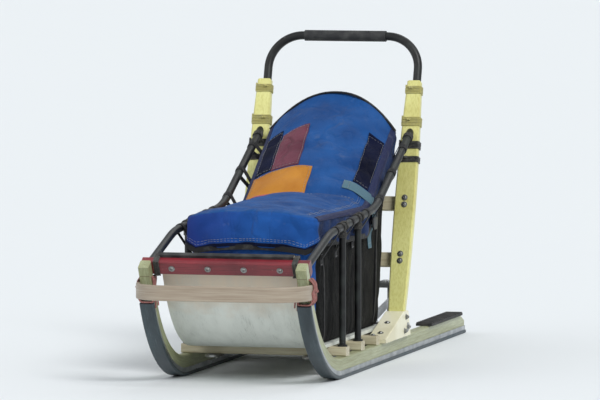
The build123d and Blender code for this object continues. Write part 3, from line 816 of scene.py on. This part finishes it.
def build_lid():
    """The lid: a crowned top, with flaps that hang over the bag's front and sides. Gives its lines too."""
    grid = BagGrid(LID_HALF, LID_FRONT_Y, LID_THICK)
    form = Form()
    top = form.sheet(grid.top, [[(p.y * 1.08, p.x) for p in row] for row in grid.top])
    outward = [grid.outward(place) for place in BORDER]
    flaps = []
    for n, (place, out) in enumerate(zip(BORDER, outward)):
        drop = SIDE_DROP + (FRONT_DROP - SIDE_DROP) * max(0.0, -out.y) ** 2
        flap = [top[place[0]][place[1]]]
        for k in range(1, LID_ROWS + 1):
            share = k / LID_ROWS
            flare = 0.0015 + 0.0045 * share + 0.002 * share * math.sin(n * 0.55) * math.sin(n * 0.13 + 1)
            point = grid.below(place, drop * share) + out * flare
            flap.append(form.point(point, (n * COLUMN_RUN, drop * share)))
        flaps.append(flap)
    # The side flaps take the darker blue, which is painted shade.
    form.columns(flaps, [1 if n in FRONT else 2 for n in range(len(flaps))])
    lid = form.sew("bag_lid", [BLUE, FRONT_BLUE, SHADED_FLAP_BLUE], sharp=180)
    held = top[-1] + [row[j] for row in top[:-1] for j in (1, -2)]
    held += [flap[k] for flap in flaps for k in (0, 1, -1)]
    settle(lid, held, pressure=0.9, slack=0.05, cap=0.010)
    inner = [number for row in top[1:-1] for number in row[1:-1]]
    crease(lid, inner, ((0.11, (0.6, 1, 1), 0.009), (0.06, (0.6, 1, 1), 0.003)), lid_looseness)
    solid = lid.modifiers.new("thickness", "SOLIDIFY")
    solid.thickness, solid.offset = 0.0024, -1
    subdivide(lid)
    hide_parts("bag_cover")
    lines = {"edge": [flap[0] for flap in flaps], "hem": [flap[-1] for flap in flaps], "rear": top[-1]}
    for name, numbers in lines.items():
        lines[name] = [lid.data.vertices[number].co.copy() for number in numbers]
    return lid, lines["edge"], lines["hem"], lines["rear"], outward


def build_shell():
    """The bag under the lid: walls that bulge a little, blue in front and dark at the sides and behind."""
    grid = BagGrid(BAG_HALF - 0.002, BAG_FRONT_Y + 0.004, -0.004)
    form = Form()
    layers = []
    for point_at in (grid.hung_point, grid.floor_point):
        rows = grid_rows(point_at)
        layers.append(form.sheet(rows, [[(p.y, p.x) for p in row] for row in rows], 1))
    walls = []
    for n, (i, j) in enumerate(BORDER + [(STEPS_ALONG, j) for j in range(1, STEPS_ACROSS)]):
        first, last = (layer[i][j] for layer in layers)
        top, low = form.points[first], form.points[last]
        wall = [first]
        for k in range(1, WALL_ROWS):
            run = (n * COLUMN_RUN, (top - low).length * k / WALL_ROWS)
            wall.append(form.point(top.lerp(low, k / WALL_ROWS), run))
        walls.append(wall + [last])
    rear = len(BORDER) - 1
    form.columns(walls + walls[:1], [0 if n in FRONT else (2 if n >= rear else 1) for n in range(len(walls))])
    shell = form.sew("bag_shell", [FRONT_BLUE, BLACK, NAVY], sharp=180)
    held = [number for layer in layers for row in layer for number in row]
    held += [walls[n][k] for n in range(4, len(BORDER), 13) for k in (5, 6)]
    settle(shell, held, pressure=2.2, slack=0.02, cap=0.008)
    free = [number for wall in walls for number in wall[1:-1]]
    crease(shell, free, ((0.14, (1, 1, 0.5), 0.007), (0.07, (1, 1, 0.7), 0.002)))
    subdivide(shell)
    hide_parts("bag_body")
    return shell


lid, lid_edge, lid_hem, lid_rear, lid_outward = build_lid()
shell_tree = cloth_tree(build_shell())
lid_tree = cloth_tree(lid)


def on_top(x, y, lift=0.0):
    """A place on the lid's top above a plan point."""
    place, normal, _, _ = lid_tree.ray_cast(Vector((x, y, 2)), -UP)
    return place + normal * lift


def refined(line, parts=3):
    """A line of points with each span divided into equal parts."""
    return [a.lerp(b, k / parts) for a, b in zip(line, line[1:]) for k in range(parts)] + line[-1:]


TAPE_THICK = 0.0022
STITCH, STITCH_GAP, THREAD_RADIUS = 0.007, 0.004, 0.00055
PANEL_STEPS = 14


def lay_tape(form, rows):
    """Lays tape on the lid along rows of points, each row across the tape and near the cloth."""
    rings, runs, length = [], [], 0
    for n, row in enumerate(rows):
        placed = [on_cloth(lid_tree, point) for point in row]
        upper = [place + normal * TAPE_THICK for place, normal in placed]
        lower = [place - normal * 0.0006 for place, normal in placed]
        length += (row[0] - rows[max(n - 1, 0)][0]).length
        spans = [(length, (point - row[0]).length) for point in row]
        rings.append(upper + lower[::-1])
        runs.append(spans + spans[::-1])
    form.rings(rings, runs)


def stitch_line(form, line, tree, base=0.0):
    """Short raised stitches along a line of points on the cloth, or on what lies on it, base high."""
    spans = [(b - a).length for a, b in zip(line, line[1:])]
    at = STITCH_GAP
    while at + STITCH < sum(spans):
        path = []
        for share, rise in ((0, -0.5), (0.5, 1.4), (1, -0.5)):
            want, n = at + STITCH * share, 0
            while n < len(spans) - 1 and want > spans[n]:
                want -= spans[n]
                n += 1
            point = line[n].lerp(line[n + 1], min(1.0, want / max(spans[n], 1e-9)))
            path.append(on_cloth(tree, point, base + THREAD_RADIUS * rise)[0])
        form.tube(path, THREAD_RADIUS, 5)
        at += STITCH + STITCH_GAP


def short_stitches(form, row, seat_at):
    """A stitch over most of each span of a row, through the seats found for three of its points."""
    for a, b in zip(row, row[1:]):
        form.tube([seat_at(a.lerp(b, share), share) for share in (0.1, 0.5, 0.8)], 0.0006, 5)


def sew_panel(name, corners, material, tape=None):
    """A panel sewn to the lid: its corners in plan, a folded edge, a line of stitches and a taped front."""
    plan = [Vector((x, y, 0)) for x, y in corners]

    def at(a, b):
        """The plan point at two shares of the panel's sides."""
        return plan[0].lerp(plan[1], a).lerp(plan[3].lerp(plan[2], a), b).xy

    form = Form()
    steps = PANEL_STEPS
    places = [[at(a / steps, b / steps) for b in range(steps + 1)] for a in range(steps + 1)]
    runs = [[(y * 1.1, x) for x, y in row] for row in places]
    layers = []
    for lift, swell in ((0.0024, 0.0008), (0.0004, 0)):
        rows = []
        for a, row in enumerate(places):
            lifts = [lift + swell * (0 < a < steps and 0 < b < steps) for b in range(steps + 1)]
            rows.append([on_top(*place, rise) for place, rise in zip(row, lifts)])
        layers.append(form.sheet(rows, runs))
    upper, under = layers
    rim = [(a, 0) for a in range(steps)] + [(steps, b) for b in range(steps)]
    rim += [(a, steps) for a in range(steps, 0, -1)] + [(0, b) for b in range(steps, 0, -1)]
    for (a, b), (c, d) in zip(rim, rim[1:] + rim[:1]):
        form.face((upper[a][b], upper[c][d], under[c][d], under[a][b]))
    form.sew(name, material, sharp=50)
    low, high = 0.035, 0.965
    square = [Vector(place) for place in ((low, low), (high, low), (high, high), (low, high), (low, low))]
    threads = Form()
    stitch_line(threads, [on_top(*at(*share)) for share in refined(square, 10)[:-1]], lid_tree, 0.0034)
    threads.sew(name + "_stitches", THREAD)
    if tape:
        edge = Form()
        edge.band([on_top(*at(k / 12, 0.0), 0.0036) for k in range(13)], BACK + UP * 0.35, 0.014, 0.0018)
        edge.sew(name + "_tape", tape)


SQUARE_PANEL = ((-0.188, 0.004), (-0.001, -0.010), (0.003, 0.098), (-0.185, 0.113))
LONG_PANEL = ((-0.134, 0.117), (-0.044, 0.106), (-0.048, 0.275), (-0.132, 0.275))
sew_panel("orange_panel", SQUARE_PANEL, ORANGE, RED_TAPE)
sew_panel("maroon_panel", LONG_PANEL, MAROON)
# Navy strips down both flanks of the lid's steep part: painted shade where the cloth folds over there.
for name, front in (("left", 0.072), ("right", 0.120)):
    outer, inner = SIDES[name] * 0.184, SIDES[name] * 0.136
    corners = ((outer, front), (inner, front), (inner, 0.290), (outer, 0.290))
    sew_panel("painted_shade_strip_" + name, corners, NAVY)

# Tape folded over the lid's side edges, wider behind than in front
binding = Form()
left_line = lid_edge[: STEPS_ALONG - 1]
right_line = lid_edge[STEPS_ALONG + STEPS_ACROSS + 2 :][::-1]
for line, outward in ((left_line, ACROSS), (right_line, -ACROSS)):
    fine = refined(line)
    rows = []
    for n, point in enumerate(fine):
        reach = 0.022 - 0.012 * n / len(fine)
        folded = [(reach * (1 - k / 6), 0) for k in range(6)] + [(0, 0.010 * k / 3) for k in range(4)]
        rows.append([point - outward * inward - UP * down for inward, down in folded])
    lay_tape(binding, rows)
binding.sew("lid_binding", NAVY_TAPE, sharp=60)

# A navy band low on the front flap as painted shade, the flap behind the lid in the blue darkened as painted
# shade, and the hem all round
front_points = [*FRONT, FRONT.stop]
band_line = refined([lid_hem[n] + lid_outward[n] * 0.004 for n in front_points])
front_shade_band = Form()
lay_tape(front_shade_band, [[point + UP * (0.010 + 0.002 * k) for k in range(6)] for point in band_line])
front_shade_band.sew("front_shade_band", NAVY, sharp=60)

rear_flap = Form()
flap_line = [p + POST_BACK * 0.0035 - POST_UP * 0.017 for p in lid_rear]
rear_flap.band(flap_line, POST_UP, 0.042, 0.0026)
rear_tree = cloth_tree(rear_flap.sew("lid_rear_flap", SHADED_FLAP_BLUE))

hem = Form()
hem_up = [(a - b).normalized() for a, b in zip(lid_edge, lid_hem)]
hem.band([p + up * 0.006 for p, up in zip(lid_hem, hem_up)], hem_up, 0.016, 0.0052)
hem.band([p - BACK * 0.004 for p in lid_rear], BACK, 0.016, 0.0050)
hem.sew("lid_hem", TAPE)

# Rows of stitches on the flaps and the lid, and taped seams down the bag's walls
threads = Form()
for down in (0.026, 0.032):
    stitch_line(threads, refined([p + POST_BACK * 0.005 - POST_UP * down for p in lid_rear]), rear_tree)
for up in (0.026, 0.032):
    stitch_line(threads, [lid_hem[n] + UP * up + lid_outward[n] * 0.006 for n in front_points], lid_tree)
for side in SIDES.values():
    for inset in (0.028, 0.034):
        line = [on_top(side * (LID_HALF - inset), -0.63 + 0.02 * k) for k in range(46)]
        stitch_line(threads, line, lid_tree)
for y in (-0.004, 0.004):
    stitch_line(threads, [on_top(-0.16 + 0.016 * k, y) for k in range(21)], lid_tree)
threads.sew("lid_stitches", THREAD)

seams = Form()
for side in SIDES.values():
    for y in (-0.545, 0.16):
        top = edge_height(y) - 0.06
        line = []
        for k in range(26):
            z = top - (top - bed_height(y) - 0.012) * k / 25
            point = Vector((side * LID_HALF, y - 0.34 * max(0, y) * k / 25, z))
            line.append(on_cloth(shell_tree, point, 0.0012)[0])
        seams.band(line, BACK, 0.012, 0.0026)
seams.sew("bag_seams", TAPE)

# Ties that hang the bag from the side rails
ties, tie_stitches = Form(), Form()
for side in SIDES.values():
    for y in (-0.575, -0.385, -0.185, -0.010, 0.150, 0.300):
        middle, along, up = rail_place(y, side)
        wall, _ = on_cloth(shell_tree, middle - ACROSS * side * 0.04 - up * 0.088)
        low = (wall - middle).dot(up)
        inner = (wall - middle).dot(ACROSS) + side * 0.0015
        outline = hull(circle_points(0, 0, RAIL_RADIUS) + [(inner, low), (inner, low + 0.006)], 0.0016, 40)
        ties.band([middle + ACROSS * x + up * z for x, z in outline], along, 0.022, 0.0018, closed=True)
        patch = [on_cloth(shell_tree, wall + up * dz, 0.0016)[0] for dz in (-0.02, -0.01, 0, 0.01, 0.02)]
        ties.band(patch, along, 0.030, 0.0024)
        for dz in (-0.016, 0.016):
            row = [wall + up * dz + along * s for s in (-0.012, -0.006, 0, 0.006, 0.012)]
            short_stitches(tie_stitches, row, lambda point, share: on_cloth(shell_tree, point, 0.0032)[0])
ties.sew("bag_ties", TAPE)
tie_stitches.sew("tie_stitches", THREAD)

# A grey-green strap over the lid's left edge above its fold, with a buckle below the side rail
BUCKLE_HALF = ((0.026, 0.018), (0.026, -0.003), (0.016, -0.020))
BUCKLE_LAYERS = ((-0.003, 0.94), (-0.002, 1.0), (0.002, 1.0), (0.0035, 0.88))


def beside(tree, down, lift):
    """A place under the strap on the outer face of the left wall, some way down from the lid's edge."""
    point = Vector((0.3, STRAP_Y, edge_height(STRAP_Y) + LID_THICK - down))
    return tree.ray_cast(point, -ACROSS)[0] + ACROSS * lift


slope = BACK + UP * (edge_height(STRAP_Y + 0.05) - edge_height(STRAP_Y)) / 0.05
path = [on_top(x, STRAP_Y, 0.0022) for x in (0.112, 0.130, 0.148, 0.166, 0.184, 0.194)]
path += [beside(lid_tree, down, 0.0040) for down in (0.006, 0.024, 0.048, 0.072)]
path += [beside(shell_tree, down, 0.0022) for down in (0.104, 0.120, 0.136, 0.150)]
wide = [slope] * 6 + [slope.lerp(BACK, share) for share in (0.25, 0.6, 0.9)] + [BACK] * 5
strap, strap_stitches = Form(), Form()
strap.band(path, wide, 0.042, 0.0018)
strap.sew("side_strap", GREY_STRAP)
for n in (0, 1, -2, -1):
    row = [path[n] + wide[n] * (0.034 * k / 5 - 0.017) + UP * 0.0012 + ACROSS * 0.0008 for k in range(6)]
    short_stitches(strap_stitches, row, lambda point, share: point + UP * (0.0005 if share == 0.5 else 0))
strap_stitches.sew("strap_stitches", THREAD)

buckle = Form()
middle = path[9] + ACROSS * 0.0032
outline = [*BUCKLE_HALF] + [(-a, b) for a, b in BUCKLE_HALF[::-1]]
rings = []
for depth, shrink in BUCKLE_LAYERS:
    rings.append([middle + Vector((depth, a * shrink, b * shrink)) for a, b in outline])
buckle.rings(rings)
for a in (-0.018, 0.018):
    buckle.tube([middle + Vector((0.0012, a, b)) for b in (0.012, 0.024, 0.029)], 0.0024, 6)
buckle.make("strap_buckle", BUCKLE, slot="grip_rubber")

# Lashings
POST_LASHINGS = (
    {"up": 0.566, "turns": 4, "with_bow": False},
    {"up": 0.612, "turns": 5, "with_bow": False},
    {"up": 0.688, "turns": 6, "with_bow": True},
    {"up": 0.790, "turns": 5, "with_bow": True},
)
rail_section = circle_points(0, 0, RAIL_RADIUS)
post_cords, bow_cords, rail_cords, brush_cords = Form(), Form(), Form(), Form()
for side in SIDES.values():
    for row in POST_LASHINGS:
        section = box_points(0, 0, post_half_width(row["up"]) - 0.001, 0.013)
        if row["with_bow"]:
            section += circle_points(0, 0.027, 0.013)
        cords = bow_cords if row["with_bow"] else post_cords
        wrap(cords, post_point(side, row["up"]), ACROSS, POST_BACK, section, row["turns"], 0.0024)
        knot(cords, post_point(side, row["up"] + 0.004, -0.019, -0.008), 0.006, 0.0022)
    middle, _, up = rail_place(0.372, side)
    wrap(post_cords, middle, ACROSS, -up, rail_section, 4, 0.0022)
post_cords.make("post_lashings", DARK_CORD)
bow_cords.make("bow_lashings", OLIVE_CORD)

for side in SIDES.values():
    for y in MEMBERS_Y[:2]:
        middle, along, up = rail_place(y, side)
        for shift in (-0.019, 0.019):
            wrap(rail_cords, middle + along * shift, ACROSS, -up, rail_section, 3, 0.0021)
        wrap(rail_cords, middle - UP * 0.024, ACROSS, BACK, circle_points(0, 0, 0.010), 4, 0.0021)
    nose = NOSE + ACROSS * side * (SIDE_X - 0.028)
    wrap(rail_cords, nose, TIP_UP, TIP_BACK, box_points(0, 0.007, 0.0225, 0.021), 4, 0.0022)
rail_cords.make("rail_lashings", DARK_CORD)

for side in SIDES.values():
    middle = Vector((side * SIDE_X, -0.942, BRUSH_Z))
    bow = side * 0.021
    first = box_points(0, 0, 0.016, 0.019) + box_points(bow, 0, 0.005, 0.026)
    wrap(brush_cords, middle + TIP_UP * 0.002, ACROSS, TIP_BACK, first, 6, 0.0024)
    second = box_points(0, 0, 0.0165, 0.036) + box_points(bow, 0, 0.0055, 0.023)
    for slant in (0.42, -0.42):
        wrap(brush_cords, middle, ACROSS, UP, second, 4, 0.0024, slant)
    knot(brush_cords, middle + Vector((side * 0.030, -0.004, 0.004)), 0.008, 0.0026)
    inner = middle + Vector((side * -0.020, -0.006, -0.014))
    knot(brush_cords, inner, 0.008, 0.0026, ((side * -0.012, 0.034), (side * -0.004, 0.042)))
brush_cords.make("brush_bow_lashings", RED_CORD)

# Fasteners, whose profiles are rows of radius, height and whether the ring is six-sided
WASHER = ((0.0095, 0.0, 0), (0.0095, 0.0013, 0))
BUTTON = (
    *WASHER,
    (0.0062, 0.0016, 0),
    (0.0062, 0.0028, 0),
    (0.0050, 0.0046, 0),
    (0.0030, 0.0052, 0),
    (0.0026, 0.0050, 1),
    (0.0024, 0.0024, 1),
)
HEXAGON = (
    (0.0060, 0.0015, 1),
    (0.0062, 0.0058, 1),
    (0.0055, 0.0066, 0),
    (0.0036, 0.0067, 0),
    (0.0034, 0.0095, 0),
    (0.0028, 0.0100, 0),
)
NUT = (*WASHER, *HEXAGON)
PIVOT_NUT = ((0.0135, 0, 0), (0.0135, 0.002, 0), *HEXAGON)
SCREW = (
    (0.0060, -0.0006, 0),
    (0.0060, 0.0006, 0),
    (0.0052, 0.0013, 0),
    (0.0022, 0.0014, 1),
    (0.0020, 0.0004, 1),
)
PLUG = ((0.0131, 0, 0), (0.0131, 0.0025, 0), (0.0110, 0.0050, 0), (0.0060, 0.0062, 0))

FOOT_SLOPE = Vector((0, -0.0657, 0.2416)).normalized()
FOOT_BOLTS = ((0.203, 0.080), (0.222, 0.122))
POST_BOLTS = [up + shift for up in (0.250, 0.430) for shift in (-0.011, 0.011)]
NOSE_FACE = Vector((0, CONTACT_Y, TURN_Z)) - TIP_BACK * 0.4081 + TIP_UP * 0.100
MAT_FACE = PIVOT - MAT_UP * 0.0101
MAT_BOLTS = [(x, y) for x in (0.033, 0.098) for y in (0.062, 0.086)]
BOLTS = {
    # piece: the body it rides on, then rows of profile, the way they face and places on the sled's left
    "sled_bolts": (
        "root",
        (NUT, ACROSS, [(FOOT_OUT - 0.0001, y, z) for y, z in FOOT_BOLTS]),
        (BUTTON, -ACROSS, [(FOOT_IN + 0.0001, y, z) for y, z in FOOT_BOLTS]),
        (BUTTON, FOOT_SLOPE, [(SIDE_X, 0.010, 0.0888), (SIDE_X, 0.100, 0.1133)]),
        (PIVOT_NUT, ACROSS, [(FOOT_OUT, PIVOT.y, PIVOT.z)]),
        (BUTTON, UP, [(SIDE_X, MEMBERS_Y[2], 0.090)]),
        (SCREW, UP, [(SIDE_X, y, 0.070) for y in (0.6193, 0.8217, 0.9988)]),
        (BUTTON, POST_BACK, [post_point(1, up, 0.028) for up in POST_BOLTS]),
        (BUTTON, -POST_BACK, [post_point(1, up, -0.014) for up in POST_BOLTS]),
        (NUT, -UP, [(BRIDLE_PLATE.x, y, 0.056) for y in (-0.4930, -0.4690)]),
        (BUTTON, -TIP_BACK, [NOSE_FACE + ACROSS * x for x in (0.055, 0.165)]),
    ),
    "pedal_bolts": (
        "brake",
        (BUTTON, UP, [(0.0817, PEDAL.y + shift, 0.187) for shift in (-0.015, 0.015)]),
    ),
    "mat_bolts": (
        "mat",
        (BUTTON, MAT_UP, [MAT_FACE + ACROSS * x + MAT_BACK * y for x, y in MAT_BOLTS]),
    ),
}
for name, (body, *rows) in BOLTS.items():
    form = Form()
    for side in SIDES.values():
        mirror = Vector((side, 1, 1))
        for profile, facing, places in rows:
            for place in places:
                form.turned(Vector(place) * mirror, facing * mirror, profile)
    form.make(name, LOOKS["steel"], body, slot="steel", sharp=30)

eyelets = Form()
EYELET = ((0.0093, 0.0036), (0.0125, 0.0036), (0.0125, 0.0031), (0.0093, 0.0031))
for side in SIDES.values():
    middle = Vector((side * BRIDLE_PLATE.x, -0.5414, 0.059))
    around = [Vector((x, y, 0)) for x, y in circle_points(0, 0, 1, 24)]
    eyelets.rings([[middle + away * r + UP * z for r, z in EYELET] for away in around], closed=True)
eyelets.make("bridle_eyelets", LOOKS["brake_metal"], slot="steel")

# Rubber edging over the bed's front end: half its section, back and up from the middle of that end
EDGING = ((0.0055, 0.0022), (0.0072, 0.0005), (0.0072, -0.0090), (0.0051, -0.0090), (0.0051, 0.0001))
section = [*EDGING] + [(-a, b) for a, b in EDGING[::-1]]
bed_tip = Vector((0, BED_LOW.y, BED_HIGH.z)) + (BACK * TIP_BACK.y - UP * TIP_BACK.z) * BED_THICK / 2
edging = Form()
stations = [bed_tip + ACROSS * BED_HIGH.x * (k / 8 - 1) for k in range(17)]
edging.rings([[place + TIP_BACK * a + TIP_UP * b for a, b in section] for place in stations])
edging.make("bed_edging", LOOKS["grip_rubber"], slot="grip_rubber", sharp=30)

# Springs that lift the brake, on the pivot bar, and end plugs of the driving bow
springs, plugs = Form(), Form()
for side in SIDES.values():
    coil = []
    for k, (z, y) in enumerate(circle_points(0, 0, 0.0128, 16) * 7 + [(0.0128, 0)]):
        coil.append(PIVOT + Vector((side * (0.160 + 0.034 * k / 112), y, z)))
    arm = [Vector((-side * 0.004, 0.064, 0.0005)), Vector((0, 0.058, -0.0006)), BACK * 0.02]
    springs.tube([coil[0] + step for step in arm] + coil, 0.0016)
    plugs.turned(post_point(side, 0.6267, 0.027), -POST_UP, PLUG, 24)
springs.make("brake_springs", SPRING, "brake", slot="steel")
plugs.make("bow_plugs", LOOKS["grip_rubber"], slot="grip_rubber")

# Materials of the CAD nodes that stay
for row in frame["record"]["subparts"]:
    if row["material_slot"] in LOOKS:
        for holder in frame["nodes"][row["node"]].material_slots:
            holder.material = LOOKS[row["material_slot"]]


# Floor, light and camera
def toward(azimuth, elevation):
    """The way to a lamp or the camera, from its azimuth and elevation in degrees."""
    a, e = math.radians(azimuth), math.radians(elevation)
    return Vector((math.sin(a) * math.cos(e), -math.cos(a) * math.cos(e), math.sin(e)))


def aimed(name, data, back):
    """An object that looks against the direction back."""
    made = bpy.data.objects.new(name, data)
    made.rotation_euler = back.to_track_quat("Z", "Y").to_euler()
    scene.collection.objects.link(made)
    return made


floor_mesh = bpy.data.meshes.new("floor")
floor_mesh.from_pydata([(-70, -70, 0), (70, -70, 0), (70, 70, 0), (-70, 70, 0)], [], [(0, 1, 2, 3)])
floor_mesh.materials.append(Look("floor", Roughness=0.9).finish((226, 230, 232)))
floor = bpy.data.objects.new("floor", floor_mesh)
scene.collection.objects.link(floor)

world = bpy.data.worlds.new("studio")
world.use_nodes = True
background = world.node_tree.nodes["Background"].inputs
background["Color"].default_value = linear((236, 240, 244))
background["Strength"].default_value = 0.55
scene.world = world

LAMPS = {
    "key": {"azimuth": 48, "elevation": 42, "strength": 1.9, "spread": 24},
    "fill": {"azimuth": -50, "elevation": 30, "strength": 0.8, "spread": 60},
    "rim": {"azimuth": 165, "elevation": 50, "strength": 0.5, "spread": 40},
}
for name, row in LAMPS.items():
    lamp = bpy.data.lights.new(name, "SUN")
    lamp.energy, lamp.angle = row["strength"], math.radians(row["spread"])
    aimed(name, lamp, toward(row["azimuth"], row["elevation"]))

VIEW_DISTANCE, VIEW_WIDTH = 25, 1.84
back = toward(14, 4)
camera_data = bpy.data.cameras.new("camera")
camera_data.sensor_width = 36
camera_data.lens = 36 * VIEW_DISTANCE / VIEW_WIDTH
camera_data.clip_end = 300
scene.camera = aimed("camera", camera_data, back)
scene.camera.location = Vector((-0.012, 0, 0.494)) + back * VIEW_DISTANCE
scene.view_settings.view_transform = "Standard"
